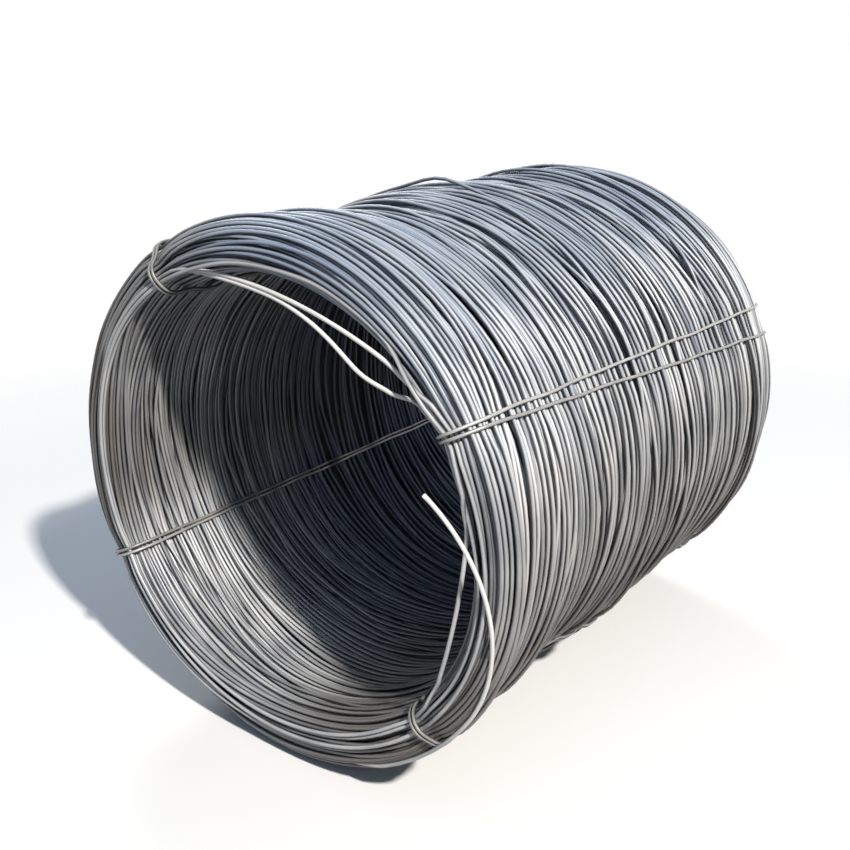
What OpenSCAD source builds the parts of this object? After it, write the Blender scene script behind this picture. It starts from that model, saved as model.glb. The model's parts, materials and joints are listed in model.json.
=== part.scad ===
// Coil of hot-rolled wire rod lying on its side, held by four doubled wire ties.
// The eye runs along Y, the open front end faces -Y, and the origin is the middle of the eye.

/* [Coil] */
// outside diameter over the turns, mm
coil_od = 1100; // [900:10:1300]
// thickness of the wall of turns between the outside and the eye, mm
wall = 110; // [100:1:130]
// length over both lips, mm
coil_len = 1270; // [1000:10:1500]
// how far the waist behind the front collar is drawn in, mm
waist_depth = 20; // [0:1:30]
// distance of the middle of the waist from the front lip, mm
waist_at = 380; // [300:10:420]
// length of the waist, mm
waist_len = 400; // [200:10:450]
// radius of the far shoulder, mm
far_shoulder = 400; // [300:10:600]
// how far the far shoulder drops to the far lip, mm
far_drop = 20; // [5:1:30]

/* [Rod] */
// diameter of the rod, mm
rod_d = 8; // [7:0.5:10]
// spacing of the turns that show on the outside, mm
outer_pitch = 20; // [16:0.5:30]
// spacing of the turns that show on the lips, mm
lip_pitch = 9; // [8.5:0.5:14]
// spacing of the turns that show in the eye, mm
bore_pitch = 48; // [40:1:60]
// how far the innermost turns of the eye stand proud of the rest, mm
proud = 5.4; // [5:0.1:5.7]
// number of turns that stand proud in the eye
proud_turns = 5; // [3:1:7]

/* [Ties] */
// diameter of one strand of tie wire, mm
tie_d = 6.5; // [5:0.25:6.5]
// gap between the two strands of a tie, mm
strand_gap = 3; // [1:0.5:10]
// distance between the strands of the right tie at the far end, mm
right_spread = 70; // [20:1:90]
// angle of the right tie above the horizontal, degrees
right_angle = 25; // [20:1:32]
// angle of the top tie, degrees
top_angle = 120; // [116:1:130]
// angle of the left tie, degrees
left_angle = 207; // [195:1:220]
// angle of the bottom tie, degrees
bottom_angle = -41; // [-50:1:-38]

/* [Loose rod] */
// depth of the loose turns behind the front lip, mm
loose_depth = 12; // [9:1:15]
// bend radius of the sprung upper turn, mm
upper_bend = 1060; // [850:10:1400]
// bend radius of the slack turn at the right, mm
slack_bend = 1480; // [1000:10:2000]
// bend radius of the free end, mm
free_bend = 350; // [320:5:400]
// length of the free end that springs clear, mm
free_len = 470; // [300:10:520]
// angle at which the free end springs clear of the front lip, degrees
free_angle = -30; // [-32:1:-20]
// lean of the free end out of the front, degrees
free_lean = 12; // [11:0.5:20]

/* [Hidden] */
$fn = 96;
wire_sides = 16;
turn_sides = 8;
rod_r = rod_d / 2;
tie_r = tie_d / 2;
coil_r = coil_od / 2;
bore_r = coil_r - wall;
seat = 0.8;
land = 0.3;
front_y = -coil_len / 2;
far_y = coil_len / 2;
mouth_r = bore_r + proud;

// The front lip is a half round. The far lip is a wide shoulder that runs into a tight round.
front_lip_r = (coil_r - mouth_r) / 2;
front_mid = mouth_r + front_lip_r;
front_spring = front_y + front_lip_r;
far_turn = acos(1 - far_drop / far_shoulder);
far_lip_r = (coil_r - mouth_r - far_drop) / (1 + cos(far_turn));
far_mid = mouth_r + far_lip_r;
far_spring = far_y - far_lip_r;
far_knee = far_spring - (far_shoulder - far_lip_r) * sin(far_turn);

// Outside radius of the straight part of the coil, with a waist behind the front collar.
waist_y = front_y + waist_at;
function bell(t) = abs(t) < 1 ? (1 + cos(180 * t)) / 2 : 0;
function outside(y) = coil_r - waist_depth * bell(2 * (y - waist_y) / waist_len);

// Evenly spaced steps between two values, both ends counted.
function steps(from, to, n) = [for (i = [0 : n]) from + (to - from) * i / n];
function count(run, pitch) = ceil(run / pitch);
function degrees(arc, r) = arc / r * 180 / PI;
function on_arc(centre, r, a) = centre + r * [cos(a), sin(a)];

// Centres of the turns that show, as [radius, y], round the whole wall of the coil.
outer_ys = steps(front_spring, far_knee, count(far_knee - front_spring, outer_pitch));
outer_turns = [for (y = outer_ys) [outside(y) - rod_r, y]];
shoulder_count = count(far_shoulder * far_turn * PI / 180, outer_pitch);
shoulder_turns = [for (a = steps(0, far_turn, shoulder_count))
    on_arc([coil_r - far_shoulder, far_knee], far_shoulder - rod_r, a)];
far_count = count((far_lip_r - rod_r) * PI * (1 - far_turn / 180), lip_pitch);
far_turns = [for (a = steps(far_turn, 180, far_count)) on_arc([far_mid, far_spring], far_lip_r - rod_r, a)];
front_count = count((front_lip_r - rod_r) * PI, lip_pitch);
front_turns = [for (a = steps(180, 360, front_count))
    on_arc([front_mid, front_spring], front_lip_r - rod_r, a)];

// A few turns of the eye stand proud. Their crests have a narrow land that sets its clear diameter.
bore_count = count(far_spring - front_spring, bore_pitch);
bore_ys = steps(far_spring, front_spring, bore_count);
proud_rows = [for (k = steps(1, bore_count - 1, proud_turns - 1)) round(k)];
function is_proud(i) = len(search(i, proud_rows)) > 0;
function bore_turn_r(i) = is_proud(i) ? bore_r + rod_r - land : mouth_r + rod_r;
bore_turns = [for (i = [1 : bore_count - 1]) [bore_turn_r(i), bore_ys[i]]];

// Neighbouring runs share an end, so each drops its first turn.
function rest(list) = [for (i = [1 : len(list) - 1]) list[i]];
front_rest = [for (i = [0 : len(front_turns) - 2]) front_turns[i]];
all_turns = concat(outer_turns, rest(shoulder_turns), rest(far_turns), bore_turns, front_rest);

// Where two lengths of bent wire meet, one swells a little and the other laps into it.
swell = 0.2;
lap = 1;

// Ties lie just clear of the turns, two strands beside each other.
strand_side = tie_r + strand_gap / 2;
tie_off = tie_r + seat;
tie_in = mouth_r - tie_off;

// Loose turns lie in one plane behind the front lip, and their ends run into the lip.
loose_y = front_y + loose_depth;
free_rest = front_lip_r + rod_r / 3;
free_rest_angle = 48;

// Half section of the coil: every turn that shows, round a solid core.
module wall_section() {
  difference() {
    union() {
      polygon(all_turns);
      for (c = all_turns) translate(c) circle(d = rod_d, $fn = turn_sides);
    }
    translate([0, -coil_len]) square([bore_r, 2 * coil_len]);
  }
}

// Arc of wire in the XY plane.
module bend(centre, r, from, sweep, d) {
  translate(centre) rotate([0, 0, from]) rotate_extrude(angle = sweep)
    translate([r, 0]) circle(d = d, $fn = wire_sides);
}

// Lays what is drawn in XY upright in a plane across the eye, at y.
module across(y) {
  translate([0, y, 0]) rotate([90, 0, 0]) children();
}

// Turns a child, made at angle zero, round the eye.
module round_eye(angle) {
  rotate([0, -angle, 0]) children();
}

// Loose turn between two points, flatter than the coil.
module sprung_turn(p, q, r) {
  half = norm(p - q) / 2;
  way = atan2(p.y - q.y, p.x - q.x);
  centre = (p + q) / 2 + sqrt(r * r - half * half) * [sin(way), -cos(way)];
  from = atan2(p.y - centre.y, p.x - centre.x);
  bend(centre, r, from, 2 * asin(half / r), rod_d);
}

// Bent rod laid out from its end: each step is [bend radius, turn], or [0, length] for a straight.
// Every other step swells a little, and its neighbours lap into it.
module bent_rod(path, i = 0) {
  if (i < len(path)) {
    r = path[i][0];
    turn = path[i][1];
    side = turn > 0 ? 1 : -1;
    thick = i % 2 == 0 ? rod_d : rod_d + swell;
    over = i % 2 == 0 ? lap : 0;
    if (r == 0) {
      translate([-over, 0]) rotate([0, 90, 0]) cylinder(d = thick, h = turn + 2 * over, $fn = wire_sides);
      translate([turn, 0]) bent_rod(path, i + 1);
    } else {
      from = turn > 0 ? -90 : 90 + turn;
      bend([0, side * r], r, from - degrees(over, r), abs(turn) + 2 * degrees(over, r), thick);
      translate([0, side * r]) rotate([0, 0, turn]) translate([0, -side * r]) bent_rod(path, i + 1);
    }
  }
}

function polar(r, a) = r * [cos(a), sin(a)];

// The kinked turn sags off the lip, bends back at the kink and runs straight to its other end.
kinked = [
  [2.21 * front_mid, -10],
  [0.8 * front_mid, -27],
  [0, 0.08 * front_mid],
  [0.28 * front_mid, 21],
  [0, 0.26 * front_mid]
];

// The upper turn, the slack one at the right, and one with a kink where it sags into the eye.
module loose_turns() {
  across(loose_y) {
    sprung_turn(polar(front_mid, right_angle + 11), polar(front_mid - 1.9 * rod_d, top_angle - 8),
      upper_bend);
    sprung_turn(polar(front_mid - 1.5 * rod_d, bottom_angle + 5), polar(front_mid, right_angle - 7),
      slack_bend);
    translate(polar(front_mid - 3.3 * rod_d, top_angle - 9.5)) bent_rod(kinked);
  }
}

// Free end of the rod, leaving the shoulder of the front lip and curling across the eye.
module free_end() {
  ring_r = front_mid + free_rest * sin(free_rest_angle);
  ring_y = front_spring - free_rest * cos(free_rest_angle);
  ring_sweep = free_angle - bottom_angle - 4 + degrees(lap, ring_r);
  across(ring_y) bend([0, 0], ring_r, bottom_angle + 4, ring_sweep, rod_d);
  round_eye(free_angle) translate([ring_r, ring_y, 0]) rotate([0, 0, free_lean])
    across(0) bend([-free_bend, 0], free_bend, 0, degrees(free_len, free_bend), rod_d + swell);
}

module coil() {
  color("slategray") {
    difference() {
      rotate([-90, 0, 0]) rotate_extrude() wall_section();
      tie_notches();
    }
    loose_turns();
    free_end();
  }
}

// Puts a strand of a tie in place: it runs beside its partner and spreads from it to the far end.
module place_strand(angle, side, spread) {
  part_by = spread / 2 - strand_side;
  settle = (spread * spread / 4 - strand_side * strand_side) / 2 / front_mid;
  round_eye(angle) translate([front_mid, front_y, side * strand_side])
    rotate([side * asin(part_by / coil_len), 0, asin(settle / coil_len)])
      translate([-front_mid, -front_y, 0]) children();
}

// Each strand in turn of the tie at an angle.
module both_strands(angle, spread) {
  for (side = [-1, 1]) place_strand(angle, side, spread) children();
}

// Notches where the strands of the ties press into the proud turns of the eye.
module tie_notches() {
  both_strands(right_angle, right_spread) notch_row();
  for (angle = [top_angle, left_angle, bottom_angle]) both_strands(angle, 2 * strand_side) notch_row();
}

module notch_row() {
  for (i = proud_rows) translate([tie_in, bore_ys[i] - bore_pitch / 2, 0]) rotate([-90, 0, 0])
    cylinder(r = tie_off - 0.1, h = bore_pitch, $fn = wire_sides);
}

// One strand: along the outside, round the far lip, back through the eye and round the front lip.
module strand() {
  straight(coil_r + tie_off, far_knee);
  bend([coil_r - far_shoulder, far_knee], far_shoulder + tie_off, 0, far_turn + degrees(lap, far_shoulder),
    tie_d + swell);
  bend([far_mid, far_spring], far_lip_r + tie_off, far_turn, 180 - far_turn, tie_d + 2 * swell);
  straight(tie_in, far_spring);
  bend([front_mid, front_spring], front_lip_r + tie_off, 180, 180, tie_d + swell);
}

// Straight run of a strand at x, from the front lip to y, lapping into the bends at its ends.
module straight(x, y) {
  translate([x, front_spring - lap, 0]) rotate([-90, 0, 0])
    cylinder(d = tie_d, h = y - front_spring + 2 * lap, $fn = wire_sides);
}

module tie(angle, spread) {
  color("silver") both_strands(angle, spread) strand();
}

module tie_right() {
  tie(right_angle, right_spread);
}

module tie_top() {
  tie(top_angle, 2 * strand_side);
}

module tie_left() {
  tie(left_angle, 2 * strand_side);
}

module tie_bottom() {
  tie(bottom_angle, 2 * strand_side);
}

coil();
tie_right();
tie_top();
tie_left();
tie_bottom();
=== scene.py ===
import json
import math

import bpy
import numpy as np
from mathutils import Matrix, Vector


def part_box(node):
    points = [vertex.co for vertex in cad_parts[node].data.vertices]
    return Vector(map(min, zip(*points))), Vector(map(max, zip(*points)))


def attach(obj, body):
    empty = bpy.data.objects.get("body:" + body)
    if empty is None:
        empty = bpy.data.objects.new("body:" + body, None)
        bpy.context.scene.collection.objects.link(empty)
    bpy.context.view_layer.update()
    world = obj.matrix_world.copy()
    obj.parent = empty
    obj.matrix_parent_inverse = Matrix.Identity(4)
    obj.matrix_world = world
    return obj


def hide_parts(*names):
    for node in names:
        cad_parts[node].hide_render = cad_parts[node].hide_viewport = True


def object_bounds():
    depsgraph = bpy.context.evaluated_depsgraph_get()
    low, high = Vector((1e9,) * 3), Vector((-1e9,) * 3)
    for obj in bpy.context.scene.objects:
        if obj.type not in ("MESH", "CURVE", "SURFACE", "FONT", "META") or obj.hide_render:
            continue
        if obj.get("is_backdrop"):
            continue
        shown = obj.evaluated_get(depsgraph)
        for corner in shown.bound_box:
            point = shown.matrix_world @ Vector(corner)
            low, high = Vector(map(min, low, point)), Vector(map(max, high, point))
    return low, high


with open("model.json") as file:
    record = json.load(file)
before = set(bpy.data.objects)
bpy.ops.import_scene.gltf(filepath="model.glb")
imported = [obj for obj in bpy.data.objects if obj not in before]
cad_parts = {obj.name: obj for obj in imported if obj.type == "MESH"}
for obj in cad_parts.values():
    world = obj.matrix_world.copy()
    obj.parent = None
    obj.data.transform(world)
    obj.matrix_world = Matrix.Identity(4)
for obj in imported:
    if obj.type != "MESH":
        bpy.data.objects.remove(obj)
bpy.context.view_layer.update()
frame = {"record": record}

# Sizes in metres, from the frame where it has them
MM = 0.001
FULL_TURN = 2 * math.pi
COIL_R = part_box("coil")[1].x
FAR_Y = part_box("coil")[1].y
FRONT_Y = -FAR_Y
EYE_R = frame["record"]["mounts"][0]["dims"]["r_mm"] * MM
MOUTH_R = EYE_R + 5.4 * MM
ROD_D = 8 * MM
ROD_R = ROD_D / 2
TIE_R = 3.25 * MM

# Waist near the front and shoulder at the far end, as in the solids
WAIST_DEPTH = 20 * MM
WAIST_Y = FRONT_Y + 380 * MM
WAIST_HALF = 200 * MM
FAR_SHOULDER = 400 * MM
FAR_DROP = 20 * MM

# Lips, as in the solids
LIP_R = (COIL_R - MOUTH_R) / 2
FRONT_MID = MOUTH_R + LIP_R
FRONT_SPRING = FRONT_Y + LIP_R
FAR_TURN = math.acos(1 - FAR_DROP / FAR_SHOULDER)
FAR_LIP_R = (COIL_R - MOUTH_R - FAR_DROP) / (1 + math.cos(FAR_TURN))
FAR_MID = MOUTH_R + FAR_LIP_R
FAR_SPRING = FAR_Y - FAR_LIP_R
FAR_KNEE = FAR_SPRING - (FAR_SHOULDER - FAR_LIP_R) * math.sin(FAR_TURN)

# Angles of the ties in degrees, and how far those that run aslant are turned at the front and the far end
TIES = {"tie_right": 25, "tie_top": 120, "tie_left": 207, "tie_bottom": -41}
ASLANT = {"tie_right": (4.5, -2.5), "tie_bottom": (-1, -3.5)}

# Section on which the turns are laid: the coil is a little lower than it is wide, and the mouth of its eye
# is pushed outwards at the lower right
SEGMENTS = 120
OUTLINE_STEP = 1 * MM
SLOPE_REACH = 3
BED_DEPTH = 2.4 * ROD_D
SQUASH = 0.985
FLARE = 24 * MM
FLARE_ANGLE = math.radians(-14)
FLARE_HALF = math.radians(48)
FLARE_DEPTH = 260 * MM
FLARE_OUTSIDE = 80 * MM
theta = np.linspace(0, FULL_TURN, SEGMENTS, endpoint=False)
rng = np.random.default_rng(12)


def arc_points(centre, radius, start, end):
    count = max(2, round(abs(end - start) * radius / OUTLINE_STEP))
    a = np.linspace(start, end, count, endpoint=False)
    return np.c_[centre[0] + radius * np.cos(a), centre[1] + radius * np.sin(a)]


def waist(y):
    t = np.clip(np.abs(y - WAIST_Y) / WAIST_HALF, 0, 1)
    return WAIST_DEPTH * (1 + np.cos(math.pi * t)) / 2


def section_outline():
    """Half section of the coil as [radius, y]: outside, far lip, eye, front lip."""
    out_y = np.arange(FRONT_SPRING, FAR_KNEE, OUTLINE_STEP)
    eye_y = np.arange(FAR_SPRING, FRONT_SPRING, -OUTLINE_STEP)
    return np.vstack([
        np.c_[COIL_R - waist(out_y), out_y],
        arc_points((COIL_R - FAR_SHOULDER, FAR_KNEE), FAR_SHOULDER, 0, FAR_TURN),
        arc_points((FAR_MID, FAR_SPRING), FAR_LIP_R, FAR_TURN, math.pi),
        np.c_[np.full(len(eye_y), MOUTH_R), eye_y],
        arc_points((FRONT_MID, FRONT_SPRING), LIP_R, math.pi, FULL_TURN),
    ])


def outward(points):
    along = np.roll(points, -SLOPE_REACH, 0) - np.roll(points, SLOPE_REACH, 0)
    along /= np.linalg.norm(along, axis=1)[:, None]
    return np.c_[along[:, 1], -along[:, 0]]


# The bed is the line in the section on which the lowest turns lie. Places on it are measured along the
# middles of the turns at the surface.
outline = section_outline()
outline_out = outward(outline)
bed = outline - BED_DEPTH * outline_out
surface = outline - ROD_R * outline_out
bed_steps = np.linalg.norm(np.roll(surface, -1, 0) - surface, axis=1)
bed_at = np.r_[0, np.cumsum(bed_steps)[:-1]]
BED = bed_steps.sum()
FRONT_APEX = BED - math.pi / 2 * (LIP_R - ROD_R)


def on_bed(values, at):
    return np.interp(at % BED, np.r_[bed_at, BED], np.r_[values, values[:1]])


def apart(a, b):
    """Distance between two places, the short way round the section."""
    return np.abs((a - b + BED / 2) % BED - BED / 2)


def short_way(angle):
    """The same angle, from minus to plus half a turn."""
    return (angle + math.pi) % FULL_TURN - math.pi


def bell(off, half):
    """One in the middle, falling to nothing on both sides of it."""
    return np.exp(-(off / half) ** 2)


def flare(at, angle):
    """How far the mouth of the eye is pushed outwards."""
    into_eye = (FRONT_APEX - at) % BED
    beyond = (at - FRONT_APEX) % BED
    share = np.where(into_eye < BED / 2, bell(into_eye, FLARE_DEPTH), bell(beyond, FLARE_OUTSIDE))
    return FLARE * share * bell(short_way(angle - FLARE_ANGLE), FLARE_HALF)


def place(at, height, angle):
    """Points at places, heights above the bed and angles round the eye, and the way out of the coil there."""
    out_r = on_bed(outline_out[:, 0], at)
    out_y = on_bed(outline_out[:, 1], at)
    r = on_bed(bed[:, 0], at) + height * out_r + flare(at, angle)
    y = on_bed(bed[:, 1], at) + height * out_y
    c = np.cos(angle)
    s = np.sin(angle)
    points = np.stack([r * c, y, SQUASH * r * s], -1)
    return points, np.stack([out_r * c, out_y, out_r * s], -1)


def far_share(at):
    """Nothing at the front of the coil, one at its far end."""
    return np.clip((on_bed(bed[:, 1], at) - FRONT_Y) / (FAR_Y - FRONT_Y), 0, 1)


def tie_angle(tie, share):
    """Angle of a tie in radians, at shares of the way to the far end."""
    front_turn, far_turn = ASLANT.get(tie, (0, 0))
    return np.radians(TIES[tie] + front_turn + (far_turn - front_turn) * share)


# How turns are laid. Drifts are waves round the eye, waves round the section, and reach.
SLOW_DRIFTS = [(1, 1, 16 * MM), (1, -3, 10 * MM), (2, 4, 9 * MM), (2, -5, 7 * MM)]
DRIFTS = SLOW_DRIFTS + [(3, 7, 5 * MM), (4, -9, 3 * MM), (2, 21, 5 * MM), (3, -27, 4 * MM), (4, 37, 3 * MM)]
WANDER_WAVES = range(1, 6)
SWERVE_HALF = (14, 40)
REST_REACH = 2
ATTEMPTS = 5
FILL_SHARE = (0.35, 0.65)
FILL_WANDER = 1 * MM


def shared_drift(base, drifts):
    """Slow wander that neighbouring turns share."""
    total = np.zeros((len(base), SEGMENTS))
    for round_eye, round_section, reach in drifts:
        phase = rng.uniform(0, FULL_TURN)
        along = FULL_TURN * round_section / BED * base + phase
        total += reach * np.cos(round_eye * theta + along[:, None])
    return total


def own_wander(reach):
    total = np.zeros(SEGMENTS)
    for waves in WANDER_WAVES:
        total += reach / waves * rng.normal() * np.cos(waves * theta + rng.uniform(0, FULL_TURN))
    return total


def bump(middle, half):
    """A bell round the eye, from radians."""
    return bell(short_way(theta - middle), half)


def swerve(reach):
    """A stretch where a turn runs aside."""
    return rng.normal() * reach * bump(rng.uniform(0, FULL_TURN), math.radians(rng.uniform(*SWERVE_HALF)))


def soften(values, reach):
    """Mean of the values nearby, round a ring."""
    weights = np.hanning(2 * reach + 3)[1:-1]
    return sum(w * np.roll(values, k) for w, k in zip(weights / weights.sum(), range(-reach, reach + 1)))


def ring_smooth(values, reach):
    """Highest value nearby, then softened, since rod doesn't bend sharply."""
    return soften(np.max([np.roll(values, k) for k in range(-reach, reach + 1)], 0), reach)


def rest_height(row, laid):
    """Height at which a turn rests on those already laid."""
    rows, heights = laid
    if not len(rows):
        return np.zeros(SEGMENTS)
    gap = apart(row, rows)
    lift = np.where(gap < ROD_D, heights + np.sqrt(np.maximum(ROD_D**2 - gap**2, 0)), 0).max(0)
    return ring_smooth(lift, REST_REACH)


def add(laid, row, height):
    rows, heights = laid
    return np.vstack([rows, row]), np.vstack([heights, height])


def add_resting(laid, row):
    return add(laid, row, rest_height(row, laid))


def spread_places(pitch, jitter):
    count = round(BED / pitch)
    places = (np.arange(count) + rng.uniform(-jitter, jitter, count)) * BED / count
    return rng.permutation(places)


def lay_layer(laid, pitch, jitter, drifts, wander, swerving, reach, limit):
    """Lays turns about a pitch apart, leaving out one that would ride higher than the limit."""
    base = spread_places(pitch, jitter)
    for at, common in zip(base, shared_drift(base, drifts)):
        for _ in range(ATTEMPTS):
            row = at + common + own_wander(wander)
            if rng.random() < swerving:
                row = row + swerve(reach)
            height = rest_height(row, laid)
            if height.max() < limit:
                laid = add(laid, row, height)
                break
    return laid


def fill_gaps(laid, tries, widest, reach, limit):
    """Lays turns between neighbours within reach of the front lip that stand too far apart."""
    for _ in range(tries):
        k = rng.integers(SEGMENTS)
        rows = laid[0][UNDER_COUNT:]
        here = rows[:, k] % BED
        order = np.argsort(here)
        gaps = np.diff(np.r_[here[order], here[order[0]] + BED])
        gaps[apart(here[order], FRONT_APEX) > reach] = 0
        g = np.argmax(gaps)
        if gaps[g] < widest:
            continue
        one = rows[order[g]]
        other = rows[order[(g + 1) % len(order)]]
        other = other + one[k] + gaps[g] - other[k]
        row = one + (other - one) * rng.uniform(*FILL_SHARE) + own_wander(FILL_WANDER)
        height = rest_height(row, laid)
        if height.max() < limit:
            laid = add(laid, row, height)
    return laid


# Three turns of the front lip have sprung loose. The stretches that hang free are as in the solids: angles
# in degrees, how far an end is inside the middle of the lip, radius, and the bends of the kinked turn.
LOOSE_Y = FRONT_Y + 12 * MM
HANG_POINTS = 60
UPPER_FROM, UPPER_TO, UPPER_INSIDE, UPPER_R = 36, 112, 15 * MM, 1060 * MM
SLACK_FROM, SLACK_TO, SLACK_INSIDE, SLACK_R = -36, 18, 12 * MM, 1480 * MM
KINKED_FROM, KINKED_INSIDE = 110.5, 26 * MM
KINKED_BENDS = [(2.21 * FRONT_MID, -10), (0.8 * FRONT_MID, -27), (0, 0.08 * FRONT_MID),
                (0.28 * FRONT_MID, 21), (0, 0.26 * FRONT_MID)]
BEND_STEP = 8 * MM
STEEPEST = 0.95


def on_lip(degrees, inside=0):
    r = FRONT_MID - inside
    return np.array([r * math.cos(math.radians(degrees)), r * math.sin(math.radians(degrees))])


def sprung_turn(start, end, radius):
    """Arc of a wide radius between two points of the lip."""
    half = np.linalg.norm(start - end) / 2
    way = (start - end) / (2 * half)
    centre = (start + end) / 2 + math.sqrt(radius**2 - half**2) * np.array([way[1], -way[0]])
    first = math.atan2(*(start - centre)[::-1])
    a = first + np.linspace(0, 2 * math.asin(half / radius), HANG_POINTS)
    return centre + radius * np.c_[np.cos(a), np.sin(a)]


def bent_rod(start, path):
    """Points along a rod of bends, each [radius, degrees], and straights, each [0, length]."""
    points = [np.array(start)]
    heading = 0.0
    for radius, turn in path:
        length = turn if radius == 0 else radius * abs(math.radians(turn))
        count = max(2, round(length / BEND_STEP))
        bend = 0 if radius == 0 else math.radians(turn) / count
        for _ in range(count):
            heading += bend / 2
            points.append(points[-1] + length / count * np.array([math.cos(heading), math.sin(heading)]))
            heading += bend / 2
    return np.array(points)


hanging = {
    "upper_loose_turn": sprung_turn(on_lip(UPPER_FROM), on_lip(UPPER_TO, UPPER_INSIDE), UPPER_R),
    "kinked_loose_turn": bent_rod(on_lip(KINKED_FROM, KINKED_INSIDE), KINKED_BENDS),
    "slack_turn": sprung_turn(on_lip(SLACK_FROM, SLACK_INSIDE), on_lip(SLACK_TO), SLACK_R),
}


def hang_line(hang):
    """Angles of a hanging stretch in rising order, and its radius at each."""
    at = np.arctan2(hang[:, 1], hang[:, 0])
    order = np.argsort(at)
    return at[order], np.hypot(hang[:, 0], hang[:, 1])[order]


def loose_row(hang):
    """Places on the front lip over which a loose turn lies or hangs, all the way round."""
    at, r = hang_line(hang)
    inwards = np.clip((FRONT_MID + flare(FRONT_APEX, at) - r) / LIP_R, -STEEPEST, STEEPEST)
    places = FRONT_APEX - np.arcsin(inwards) * (LIP_R - ROD_R)
    return np.interp(theta, at, places, period=FULL_TURN)


# Stray turns run across the rest, most of them near the far end: y, angle, half width, reach in mm
STRAYS = ((0.42, 62, 34, 60), (0.46, 66, 30, 45), (0.36, 70, 38, 52), (0.5, 58, 26, 36), (0.3, 75, 30, -40),
          (0.2, 50, 40, 30), (0.1, 80, 36, -34), (-0.05, 20, 44, 30), (0.27, 5, 40, -34), (-0.2, 95, 30, 26))
STRAY_WANDER = 3 * MM
LOOSE_WANDER = 1 * MM
# One turn on top has sprung up a little
LIFTED_Y = -0.04
LIFTED_ANGLE = math.radians(92)
LIFTED_HALF = math.radians(7)
LIFTED_RISE = 15 * MM
LIFTED_WANDER = 2 * MM
FAR_LIP_POINTS = 200
OUTSIDE = slice(0, np.argmax(outline[:, 1]) - FAR_LIP_POINTS)


def outside_place(y):
    return np.interp(y, outline[OUTSIDE, 1], bed_at[OUTSIDE])


# The turns, each given by its place and its height at every angle
laid = (np.zeros((0, SEGMENTS)), np.zeros((0, SEGMENTS)))
laid = lay_layer(laid, pitch=8.8 * MM, jitter=0.1, drifts=SLOW_DRIFTS, wander=0.5 * MM,
                 swerving=0, reach=0, limit=1.4 * ROD_D)
UNDER_COUNT = len(laid[0])
laid = lay_layer(laid, pitch=11.5 * MM, jitter=0.3, drifts=DRIFTS, wander=2.5 * MM,
                 swerving=0.4, reach=14 * MM, limit=1.9 * ROD_D)
for y, angle, half, reach in STRAYS:
    row = outside_place(y) + own_wander(STRAY_WANDER)
    laid = add_resting(laid, row - reach * MM * bump(math.radians(angle), math.radians(half)))
laid = fill_gaps(laid, tries=300, widest=17 * MM, reach=BED, limit=2.5 * ROD_D)
laid = fill_gaps(laid, tries=220, widest=14 * MM, reach=350 * MM, limit=2.6 * ROD_D)
LOOSE_FIRST = len(laid[0])
for hang in hanging.values():
    laid = add_resting(laid, loose_row(hang) + own_wander(LOOSE_WANDER))
laid = lay_layer(laid, pitch=17 * MM, jitter=0.4, drifts=DRIFTS, wander=4 * MM,
                 swerving=0.75, reach=20 * MM, limit=2.7 * ROD_D)
laid = add_resting(laid, outside_place(LIFTED_Y) + own_wander(LIFTED_WANDER))
all_rows, all_heights = laid
all_heights[-1] += LIFTED_RISE * bump(LIFTED_ANGLE, LIFTED_HALF)

# The ties press a groove into the turns, deepest on the front lip
PINCH = 5 * MM
PINCH_REACH = 60 * MM
GROOVES = {"tie_right": 3 * MM, "tie_top": 3 * MM, "tie_left": 3 * MM, "tie_bottom": 7 * MM}
GROOVE_HALF = math.radians(4)
pinched = PINCH * bell(apart(all_rows, FRONT_APEX), PINCH_REACH)
for tie, depth in GROOVES.items():
    off = short_way(theta - tie_angle(tie, far_share(all_rows)))
    all_heights = all_heights - (depth + pinched) * bell(off, GROOVE_HALF)
tones = rng.random(len(all_rows))

# Meshes. A tube that isn't closed on itself tapers off in a rounded tip: radii and steps, in rod radii
TIP_RADII = np.array([1.0, 0.97, 0.75, 0.0])
TIP_STEPS = np.array([0.0, 0.12, 0.3, 0.3])
TIP_POINTS = len(TIP_RADII)


def new_piece(mesh, material, node_name):
    piece = bpy.data.objects.new(mesh.name, mesh)
    bpy.context.scene.collection.objects.link(piece)
    mesh.materials.append(material)
    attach(piece, "root")
    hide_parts(node_name)


def quad_mesh(name, verts, quads, tone, crest):
    mesh = bpy.data.meshes.new(name)
    mesh.vertices.add(len(verts))
    mesh.vertices.foreach_set("co", np.ascontiguousarray(verts, np.float32).ravel())
    mesh.loops.add(quads.size)
    mesh.loops.foreach_set("vertex_index", np.ascontiguousarray(quads, np.int32).ravel())
    mesh.polygons.add(len(quads))
    mesh.polygons.foreach_set("loop_start", np.arange(0, quads.size, 4, dtype=np.int32))
    for label, values in (("tone", tone), ("crest", crest)):
        mesh.attributes.new(label, "FLOAT", "POINT").data.foreach_set("value", values.astype(np.float32))
    mesh.update(calc_edges=True)
    mesh.shade_smooth()
    return mesh


def ends_repeated(values):
    first = np.repeat(values[:, :1], TIP_POINTS, 1)
    last = np.repeat(values[:, -1:], TIP_POINTS, 1)
    return np.concatenate([first, values, last], 1)


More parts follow.
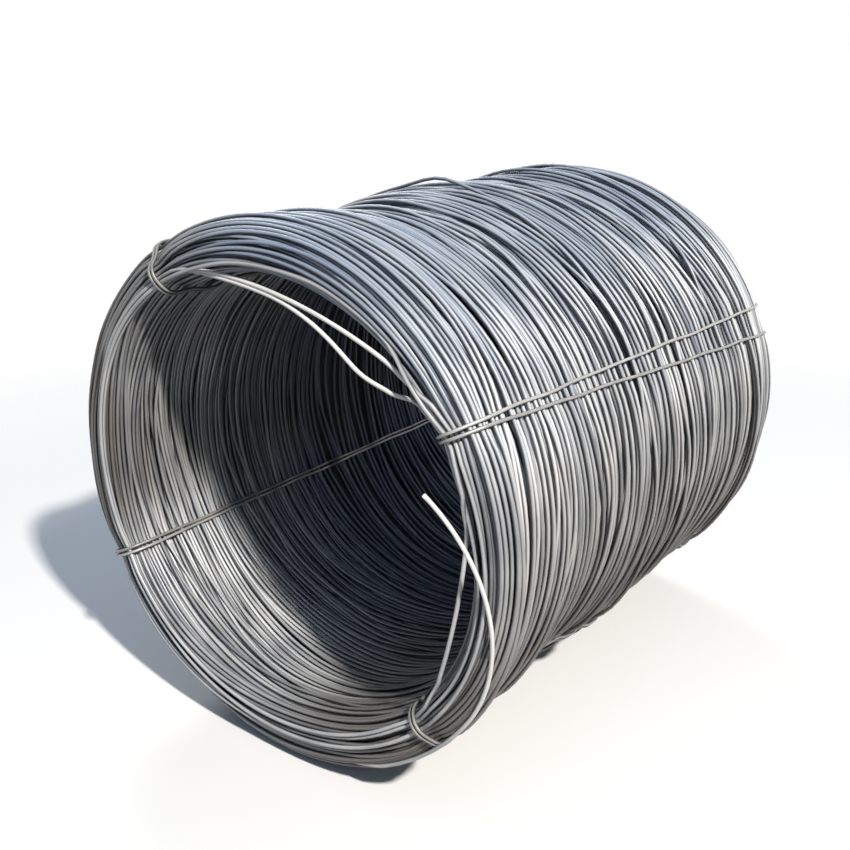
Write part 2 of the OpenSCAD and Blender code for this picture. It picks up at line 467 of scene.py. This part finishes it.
def tube_mesh(name, paths, outs, radius, sides, tone, no_flank_shade=np.array([-1]), closed=True):
    """Round tubes along paths, shaped (tubes, points, 3), with a direction out of the coil at every point.

    The tone is a number for each tube or for each of its points, tips included, and so is how far the painted
    shade on its flanks is left off.
    """
    if closed:
        along = np.roll(paths, -1, 1) - np.roll(paths, 1, 1)
        radii = np.full(paths.shape[1], radius)
    else:
        along = np.gradient(paths, axis=1)
        way = along / np.linalg.norm(along, axis=2, keepdims=True)
        tip = TIP_RADII * radius
        off = TIP_STEPS[None, :, None] * radius
        start = paths[:, :1] - off[:, ::-1] * way[:, :1]
        end = paths[:, -1:] + off * way[:, -1:]
        radii = np.r_[tip[::-1], np.full(paths.shape[1], radius), tip]
        paths = np.concatenate([start, paths, end], 1)
        along = ends_repeated(along)
        outs = ends_repeated(outs)
    along = along / np.linalg.norm(along, axis=2, keepdims=True)
    across = np.cross(along, outs)
    across /= np.linalg.norm(across, axis=2, keepdims=True)
    up = np.cross(across, along)
    a = np.linspace(0, FULL_TURN, sides, endpoint=False)[:, None]
    ring = np.cos(a) * up[:, :, None] + np.sin(a) * across[:, :, None]
    verts = paths[:, :, None] + radii[None, :, None, None] * ring
    index = np.arange(verts[..., 0].size).reshape(verts.shape[:3])
    here, there = (index, np.roll(index, -1, 1)) if closed else (index[:, :-1], index[:, 1:])
    quads = np.stack([here, np.roll(here, -1, 2), np.roll(there, -1, 2), there], -1).reshape(-1, 4)
    tone = np.repeat(tone, index.size // tone.size)
    # Crest is one on the side of each tube that faces out of the coil and minus one on the side that faces
    # in; the material paints shade on the flanks from it
    crest = np.tile(np.cos(a[:, 0]), paths.shape[0] * paths.shape[1])
    crest = np.maximum(crest, np.repeat(no_flank_shade, crest.size // no_flank_shade.size))
    return quad_mesh(name, verts.reshape(-1, 3), quads, tone, crest)


# Materials: colours
DARK = (0.18, 0.192, 0.222)
MID = (0.5, 0.515, 0.54)
BRIGHT = (0.86, 0.86, 0.86)
LOOSE_BRIGHT = (0.88, 0.865, 0.84)
# Painted shade: near-black steel for the core and for the under turns far in the eye
PAINTED_SHADE_DARK = (0.015, 0.018, 0.024)
PAINTED_SHADE_BRIGHT = (0.12, 0.13, 0.15)
TIE_DARK = (0.23, 0.226, 0.22)
TIE_BRIGHT = (0.58, 0.565, 0.55)
DUST = (0.15, 0.135, 0.117)
# Painted sky reflection and shade: blue-grey on top of the coil
PAINTED_SKY_BLUE = (0.255, 0.325, 0.44)
# Painted shade: dark blue far inside the eye
PAINTED_EYE_SHADE = (0.13, 0.185, 0.32)
# Painted shade on the flanks and undersides of every rod, where its neighbours would shade it
PAINTED_FLANK_SHADE = (0.055, 0.058, 0.064)

# Where dust, the painted sky reflection and shade on top and the painted shade far in the eye begin and where
# they are full, in metres, and how strong they are
LOWER_RIGHT_Z, LOWER_RIGHT_X = (0.2, -0.25), (-0.1, 0.2)
UPPER_LEFT_Z, UPPER_LEFT_X = (0.05, 0.3), (-0.05, -0.3)
LEFT_EDGE_X = (-0.41, -0.47)
PAINTED_SKY_Z, PAINTED_SKY_X = (0.15, 0.5), (-0.3, -0.05)
EYE_SHADE_RADIUS, EYE_SHADE_Y = (0.475, 0.455), (-0.35, 0)
THICK_DUST = 1.25
THIN_DUST = 0.7
PAINTED_SKY_LEAST = 0.2

# How shades mix on the steel
TONE_SHARE, PATCH_SHARE = 0.45, 0.55
PATCH_DETAIL = 5
UNEVEN_SCALE, UNEVEN_DETAIL = 3, 3
UNEVEN_RANGE, UNEVEN_LEAST = (0.35, 0.65), 0.7
# Painted flank shade: the crest values over which it fades in, and how much of the rod's own colour stays
# where it is darkest
CREST_RANGE, FLANK_LEAST = (-0.15, 0.75), 0.2
ROUGHNESS_SPREAD = 0.1
STEEL_SPECULAR = 0.4


def node(tree, kind, **values):
    made = tree.nodes.new(kind)
    for key, value in values.items():
        setattr(made, key, value)
    return made


def ramp(tree, stops):
    made = node(tree, "ShaderNodeValToRGB")
    elements = made.color_ramp.elements
    while len(elements) < len(stops):
        elements.new(0.5)
    for element, (at, colour) in zip(elements, stops):
        element.position = at
        element.color = (*colour, 1)
    return made


def maths(tree, operation, first, second=0):
    """A Math node whose inputs are sockets or numbers."""
    made = node(tree, "ShaderNodeMath", operation=operation)
    for socket, value in zip(made.inputs, (first, second)):
        if isinstance(value, (int, float)):
            socket.default_value = value
        else:
            tree.links.new(value, socket)
    return made.outputs[0]


def times(tree, first, second):
    return maths(tree, "MULTIPLY", first, second)


def between_values(tree, value, low, high, to_low, to_high):
    made = node(tree, "ShaderNodeMapRange")
    for name, number in (("From Min", low), ("From Max", high), ("To Min", to_low), ("To Max", to_high)):
        made.inputs[name].default_value = number
    tree.links.new(value, made.inputs["Value"])
    return made.outputs["Result"]


def noise(tree, vector, scale, detail):
    made = node(tree, "ShaderNodeTexNoise")
    made.inputs["Scale"].default_value = scale
    made.inputs["Detail"].default_value = detail
    tree.links.new(vector, made.inputs["Vector"])
    return made.outputs["Fac"]


def colour_mix(tree, factor, first, second):
    """Mix of two colours, each a socket or a constant."""
    made = node(tree, "ShaderNodeMix", data_type="RGBA")
    tree.links.new(factor, made.inputs[0])
    for socket, colour in zip((made.inputs["A"], made.inputs["B"]), (first, second)):
        if isinstance(colour, tuple):
            socket.default_value = (*colour, 1)
        else:
            tree.links.new(colour, socket)
    return made.outputs["Result"]


def steel(name, stops, roughness, metallic, grain, dust_and_shade):
    """Steel wire, with painted shade on the flanks and undersides of every rod.

    Its shade changes from turn to turn and along each turn. It has painted sky reflection and shade in
    blue-grey on top, painted dark blue shade far inside the eye, and it is dusty at the lower right, the
    upper left and on the left edge.
    """
    material = bpy.data.materials.new(name)
    material.use_nodes = True
    tree = material.node_tree
    shader = tree.nodes["Principled BSDF"]
    shader.inputs["Metallic"].default_value = metallic
    shader.inputs["Specular IOR Level"].default_value = STEEL_SPECULAR
    where = node(tree, "ShaderNodeTexCoord").outputs["Object"]
    patches = noise(tree, where, grain, PATCH_DETAIL)
    tone = node(tree, "ShaderNodeAttribute", attribute_name="tone").outputs["Fac"]
    crest = node(tree, "ShaderNodeAttribute", attribute_name="crest").outputs["Fac"]
    worn = ramp(tree, stops)
    shade = maths(tree, "ADD", times(tree, tone, TONE_SHARE), times(tree, patches, PATCH_SHARE))
    tree.links.new(shade, worn.inputs["Fac"])
    split = node(tree, "ShaderNodeSeparateXYZ")
    tree.links.new(where, split.inputs[0])
    x, y, z = split.outputs
    radius = maths(tree, "SQRT", maths(tree, "ADD", times(tree, x, x), times(tree, z, z)))
    uneven = noise(tree, where, UNEVEN_SCALE, UNEVEN_DETAIL)
    uneven = between_values(tree, uneven, *UNEVEN_RANGE, UNEVEN_LEAST, 1)
    lower_right = times(tree, between_values(tree, z, *LOWER_RIGHT_Z, 0, THICK_DUST * dust_and_shade),
                        between_values(tree, x, *LOWER_RIGHT_X, 0, 1))
    upper_left = times(tree, between_values(tree, z, *UPPER_LEFT_Z, 0, THIN_DUST * dust_and_shade),
                       between_values(tree, x, *UPPER_LEFT_X, 0, 1))
    left_edge = between_values(tree, x, *LEFT_EDGE_X, 0, THICK_DUST * dust_and_shade)
    dusty = maths(tree, "MAXIMUM", lower_right, maths(tree, "MAXIMUM", left_edge, upper_left))
    dusty = times(tree, dusty, uneven)
    # Painted sky reflection and shade: the top is mixed towards blue-grey, less so towards the left
    top = times(tree, between_values(tree, z, *PAINTED_SKY_Z, 0, dust_and_shade), uneven)
    top = times(tree, top, between_values(tree, x, *PAINTED_SKY_X, PAINTED_SKY_LEAST, 1))
    # Painted shade in the eye: mixed towards dark blue inside the eye's radius, full from the middle of the
    # coil's length to the far end
    painted_eye_shade = times(tree, between_values(tree, radius, *EYE_SHADE_RADIUS, 0, dust_and_shade),
                 between_values(tree, y, *EYE_SHADE_Y, 0, 1))
    colour = colour_mix(tree, top, worn.outputs["Color"], PAINTED_SKY_BLUE)
    colour = colour_mix(tree, painted_eye_shade, colour, PAINTED_EYE_SHADE)
    colour = colour_mix(tree, dusty, colour, DUST)
    # Painted shade: the flanks and undersides of each rod are mixed towards a dark colour
    colour = colour_mix(tree, between_values(tree, crest, *CREST_RANGE, FLANK_LEAST, 1), PAINTED_FLANK_SHADE, colour)
    tree.links.new(colour, shader.inputs["Base Color"])
    rough = between_values(tree, patches, 0, 1, roughness - ROUGHNESS_SPREAD, roughness + ROUGHNESS_SPREAD)
    tree.links.new(rough, shader.inputs["Roughness"])
    return material


rod_steel = steel("rod_steel", [(0.2, DARK), (0.5, MID), (0.8, BRIGHT)],
                  roughness=0.38, metallic=0.1, grain=9, dust_and_shade=0.8)
loose_steel = steel("loose_steel", [(0.2, DARK), (0.5, MID), (0.8, LOOSE_BRIGHT)],
                    roughness=0.36, metallic=0.1, grain=9, dust_and_shade=0)
painted_shade_steel = steel("painted_shade_steel", [(0.2, PAINTED_SHADE_DARK), (0.8, PAINTED_SHADE_BRIGHT)],
                   roughness=0.6, metallic=0.05, grain=9, dust_and_shade=0)
tie_steel = steel("tie_steel", [(0.2, TIE_DARK), (0.8, TIE_BRIGHT)],
                  roughness=0.42, metallic=0.3, grain=40, dust_and_shade=0)

# Turns of rod, in two pieces for each region of the coil: those that show and those under them
TOP_SIDES = 8
EYE_SIDES = 6
UNDER_SIDES = 6
UNDER_STEP = 2
mean_row = all_rows.mean(1)
mean_r = on_bed(bed[:, 0], mean_row)
mean_y = on_bed(bed[:, 1], mean_row)
on_wall = (mean_y > FRONT_SPRING) & (mean_y < FAR_SPRING)
number = np.arange(len(all_rows))
lying = (number < LOOSE_FIRST) | (number >= LOOSE_FIRST + len(hanging))
regions = {
    "outside_front": on_wall & (mean_r > FRONT_MID) & (mean_y < 0),
    "outside_far": on_wall & (mean_r > FRONT_MID) & (mean_y >= 0),
    "eye_front": on_wall & (mean_r <= FRONT_MID) & (mean_y < 0),
    "eye_far": on_wall & (mean_r <= FRONT_MID) & (mean_y >= 0),
    "far_lip": mean_y >= FAR_SPRING,
    "front_lip": mean_y <= FRONT_SPRING,
}
for region, inside in regions.items():
    top_sides = EYE_SIDES if region.startswith("eye") else TOP_SIDES
    # Under turns far in the eye take the painted shade steel
    under_steel = painted_shade_steel if region == "eye_far" else rod_steel
    for layer, chosen, step, sides, material in (
            ("turns", number >= UNDER_COUNT, 1, top_sides, rod_steel),
            ("under_turns", number < UNDER_COUNT, UNDER_STEP, UNDER_SIDES, under_steel)):
        pick = np.flatnonzero(inside & chosen & lying)
        paths, outs = place(all_rows[pick, ::step], all_heights[pick, ::step], theta[::step])
        mesh = tube_mesh(f"{region}_{layer}", paths, outs, ROD_R, sides, tones[pick])
        new_piece(mesh, material, "coil")

# Solid inside the turns, so that no light comes through
CORE_STEP = 12
CORE_ANGLE_STEP = 2


def core():
    r, y = (bed - ROD_R * outline_out)[::CORE_STEP].T
    angles = theta[::CORE_ANGLE_STEP]
    verts = np.stack([np.outer(r, np.cos(angles)), np.outer(y, np.ones(len(angles))),
                      SQUASH * np.outer(r, np.sin(angles))], -1)
    index = np.arange(verts[..., 0].size).reshape(verts.shape[:2])
    up = np.roll(index, -1, 0)
    quads = np.stack([index, np.roll(index, -1, 1), np.roll(up, -1, 1), up], -1).reshape(-1, 4)
    return quad_mesh("core", verts.reshape(-1, 3), quads, np.zeros(index.size), np.zeros(index.size))


# The core is painted near black, as painted shade among the inner turns
new_piece(core(), painted_shade_steel, "coil")

# Ties: two strands each, drawn tight over the turns. Those of one tie spread apart towards the far end.
TIE_STEP = 4 * MM
TIE_SIDES = 8
STRAND_SIDE = 4.75 * MM
TIE_SPREAD = {"tie_right": 70 * MM}
TIE_SINK = 1.5 * MM
TIE_REACH = 6
TIE_WAVE = 0.7 * MM
TIE_WAVES = (5, 9, 14)


def at_angle(values, angle):
    """Values of every turn at an angle of its own for each column."""
    k = angle / FULL_TURN * SEGMENTS
    low = np.floor(k).astype(int)
    part = k - low
    return values[:, low % SEGMENTS] * (1 - part) + values[:, (low + 1) % SEGMENTS] * part


def strand(tie, side):
    at = np.arange(0, BED, TIE_STEP)
    share = far_share(at)
    far_side = TIE_SPREAD.get(tie, 2 * STRAND_SIDE) / 2
    wave = sum(TIE_WAVE * np.cos(FULL_TURN * k * at / BED + rng.uniform(0, FULL_TURN)) for k in TIE_WAVES)
    aside = side * (STRAND_SIDE + (far_side - STRAND_SIDE) * share) + wave
    angle = tie_angle(tie, share) + aside / on_bed(bed[:, 0], at)
    gap = apart(at, at_angle(all_rows, angle))
    reach = ROD_R + TIE_R
    over = at_angle(all_heights, angle) + np.sqrt(np.maximum(reach**2 - gap**2, 0))
    over = np.where(gap < reach, over, 0).max(0)
    return place(at, ring_smooth(over, TIE_REACH) - TIE_SINK, angle)


for tie in TIES:
    paths, outs = zip(*(strand(tie, side) for side in (-1, 1)))
    mesh = tube_mesh(tie + "_wire", np.stack(paths), np.stack(outs), TIE_R, TIE_SIDES, rng.random(2))
    new_piece(mesh, tie_steel, tie)

# Loose turns and the free end, along the same lines as in the solids
# Painted light: the hanging stretches and the free end are painted brighter than the lying stretches, as if
# sunlit
LYING_TONE = 0.6
PAINTED_SUNLIT_TONE = 1.3
PAINTED_SUNLIT_HANGING_TONES = {"upper_loose_turn": 1.15, "kinked_loose_turn": PAINTED_SUNLIT_TONE, "slack_turn": 0.75}
LOOSE_SIDES = 10
EDGE = math.radians(9)
EASE_REACH = 4
fine = np.linspace(0, FULL_TURN, 3 * SEGMENTS, endpoint=False)


def round_ring(values):
    return np.interp(fine, np.r_[theta, FULL_TURN], np.r_[values, values[:1]])


def loose_ring(row, height, hang):
    """A whole turn that lies on the front lip, apart from the stretch that hangs free of it."""
    on, out = place(round_ring(row), round_ring(height), fine)
    at, r = hang_line(hang)
    signed = short_way(fine)
    r = np.interp(signed, at, r)
    over_lip = LIP_R + ROD_R
    inwards = np.clip((FRONT_MID + flare(FRONT_APEX, fine) - r) / over_lip, -1, 1)
    y = soften(np.minimum(LOOSE_Y, FRONT_SPRING - over_lip * np.sqrt(1 - inwards**2)), EASE_REACH)
    share = np.clip(np.minimum(signed - at[0], at[-1] - signed) / EDGE, 0, 1)
    share = (share * share * (3 - 2 * share))[:, None]
    free = np.c_[r * np.cos(fine), y, SQUASH * r * np.sin(fine)]
    return on * (1 - share) + free * share, out, share[:, 0]


def loose_piece(name, path, out, sides, free_tone, free_share, closed):
    """A loose rod, painted brighter as if sunlit where it is free, and without the painted flank shade there.
    """
    tone = LYING_TONE + (free_tone - LYING_TONE) * free_share
    mesh = tube_mesh(name, path[None], out[None], ROD_R, sides, tone, 2 * free_share - 1, closed)
    new_piece(mesh, loose_steel, "coil")


for k, (name, hang) in enumerate(hanging.items()):
    path, out, free_share = loose_ring(all_rows[LOOSE_FIRST + k], all_heights[LOOSE_FIRST + k], hang)
    loose_piece(name, path, out, LOOSE_SIDES, PAINTED_SUNLIT_HANGING_TONES[name], free_share, closed=True)

# The free end comes up out of the front lip, leaves its shoulder and curls across the eye
END_FROM = math.radians(-85)
END_RISE = math.radians(25)
END_LEAVES = math.radians(-30)
END_AT = FRONT_APEX + math.radians(48) * (LIP_R - ROD_R)
END_PROUD = ROD_R / 3
END_BEND = 350 * MM
END_LENGTH = 470 * MM
END_LEAN = math.radians(12)
END_POINTS = 40
END_SIDES = 12
# Points of the free end over which it is painted brighter, as if sunlit: the first, and how many
BRIGHTENS_AT = 32
BRIGHTENS_OVER = 12


def free_end():
    angle = np.linspace(END_FROM, END_LEAVES, END_POINTS)
    rise = np.clip((angle - END_FROM) / END_RISE, 0, 1)
    height = (BED_DEPTH + END_PROUD) * rise - ROD_D * (1 - rise)
    on, _ = place(np.full(END_POINTS, END_AT), height, angle)
    b = np.linspace(0, END_LENGTH / END_BEND, HANG_POINTS)[1:]
    inwards = END_BEND * (np.cos(b) - 1)
    x = math.hypot(on[-1, 0], on[-1, 2]) + inwards * math.cos(END_LEAN)
    y = on[-1, 1] + inwards * math.sin(END_LEAN)
    z = END_BEND * np.sin(b)
    c, s = math.cos(END_LEAVES), math.sin(END_LEAVES)
    return np.vstack([on, np.c_[x * c - z * s, y, x * s + z * c]])


path = free_end()
forwards = np.tile([0.0, -1.0, 0.0], (len(path), 1))
along_path = np.arange(len(path) + 2 * TIP_POINTS) - TIP_POINTS
free_share = np.clip((along_path - BRIGHTENS_AT) / BRIGHTENS_OVER, 0, 1)
loose_piece("free_end", path, forwards, END_SIDES, PAINTED_SUNLIT_TONE, free_share, closed=False)

# Camera, at the photograph's angle
FOCAL_PX = 1083.9
IMAGE_PX = 850
SENSOR = 36
CAMERA_AZIMUTH = 36.99
CAMERA_ELEVATION = 19.45
CAMERA_DISTANCE = 4.704 * COIL_R
CAMERA_AIM = Vector((-0.157, 0, -0.049)) * COIL_R


def stand(name, data, aim, azimuth, elevation, distance):
    """Puts a camera or a lamp at a distance from what it looks at, angles in degrees."""
    a, e = math.radians(azimuth), math.radians(elevation)
    away = Vector((math.sin(a) * math.cos(e), -math.cos(a) * math.cos(e), math.sin(e)))
    made = bpy.data.objects.new(name, data)
    bpy.context.scene.collection.objects.link(made)
    made.location = aim + away * distance
    made.rotation_mode = "QUATERNION"
    made.rotation_quaternion = away.to_track_quat("Z", "Y")
    return made


camera_data = bpy.data.cameras.new("camera")
camera_data.sensor_width = SENSOR
camera_data.lens = FOCAL_PX / IMAGE_PX * SENSOR
bpy.context.scene.camera = stand("camera", camera_data, CAMERA_AIM, CAMERA_AZIMUTH, CAMERA_ELEVATION,
                                 CAMERA_DISTANCE)
bpy.context.scene.view_settings.view_transform = "Standard"

# Stage
WHITE = (1, 1, 1, 1)
SKY = (0.52, 0.72, 1, 1)
SKY_LOW = 0.03
SKY_TOP = 0.38
SUN = (1, 0.95, 0.88)
LAMP_DISTANCE = 9
FLOOR_R = 4
FLOOR_POINTS = 96
FLOOR_ROUGHNESS = 0.9
FLOOR_SEEN = 0.95
FLOOR_BOUNCE = 0.3
FADE_FROM = 1.3
FADE_TO = 3


def seen_directly(tree):
    """One for what the camera sees, also in a reflection or through glass, and nothing for other light."""
    path = node(tree, "ShaderNodeLightPath").outputs
    seen = maths(tree, "MAXIMUM", path["Is Camera Ray"], path["Is Glossy Ray"])
    return maths(tree, "MAXIMUM", seen, path["Is Transmission Ray"])


def white_world():
    """White background, with a dim blue sky that lights the object from above."""
    world = bpy.data.worlds.new("studio")
    world.use_nodes = True
    bpy.context.scene.world = world
    tree = world.node_tree
    white = tree.nodes["Background"]
    white.inputs["Color"].default_value = WHITE
    white.inputs["Strength"].default_value = 1
    sky = node(tree, "ShaderNodeBackground")
    sky.inputs["Color"].default_value = SKY
    way = node(tree, "ShaderNodeSeparateXYZ")
    tree.links.new(node(tree, "ShaderNodeTexCoord").outputs["Generated"], way.inputs[0])
    tree.links.new(between_values(tree, way.outputs["Z"], 0, 1, SKY_LOW, SKY_TOP), sky.inputs["Strength"])
    mix = node(tree, "ShaderNodeMixShader")
    tree.links.new(seen_directly(tree), mix.inputs[0])
    tree.links.new(sky.outputs[0], mix.inputs[1])
    tree.links.new(white.outputs[0], mix.inputs[2])
    tree.links.new(mix.outputs[0], tree.nodes["World Output"].inputs["Surface"])


def fading_floor(height):
    """Pale floor that takes the shadow and fades into the white round it."""
    bpy.ops.mesh.primitive_circle_add(vertices=FLOOR_POINTS, radius=FLOOR_R, fill_type="NGON",
                                      location=(0, 0, height))
    floor = bpy.context.object
    floor.name = "floor"
    paper = bpy.data.materials.new("paper")
    paper.use_nodes = True
    tree = paper.node_tree
    shader = tree.nodes["Principled BSDF"]
    shader.inputs["Roughness"].default_value = FLOOR_ROUGHNESS
    shader.inputs["Specular IOR Level"].default_value = 0
    tree.links.new(between_values(tree, seen_directly(tree), 0, 1, FLOOR_BOUNCE, FLOOR_SEEN),
                   shader.inputs["Base Color"])
    away = node(tree, "ShaderNodeVectorMath", operation="LENGTH")
    tree.links.new(node(tree, "ShaderNodeTexCoord").outputs["Object"], away.inputs[0])
    fade = between_values(tree, away.outputs["Value"], FADE_FROM, FADE_TO, 0, 1)
    mix = node(tree, "ShaderNodeMixShader")
    tree.links.new(fade, mix.inputs[0])
    tree.links.new(shader.outputs[0], mix.inputs[1])
    tree.links.new(node(tree, "ShaderNodeBsdfTransparent").outputs[0], mix.inputs[2])
    tree.links.new(mix.outputs[0], tree.nodes["Material Output"].inputs["Surface"])
    floor.data.materials.append(paper)
    floor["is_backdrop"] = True


def area_lamp(name, azimuth, elevation, size, power, colour):
    data = bpy.data.lights.new(name, "AREA")
    data.color = colour
    data.size = size
    data.energy = power
    stand(name, data, Vector(), azimuth, elevation, LAMP_DISTANCE)


white_world()
fading_floor(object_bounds()[0].z)
area_lamp("key", azimuth=63, elevation=42, size=0.4, power=1040, colour=SUN)
area_lamp("fill", azimuth=235, elevation=35, size=3, power=230, colour=WHITE[:3])
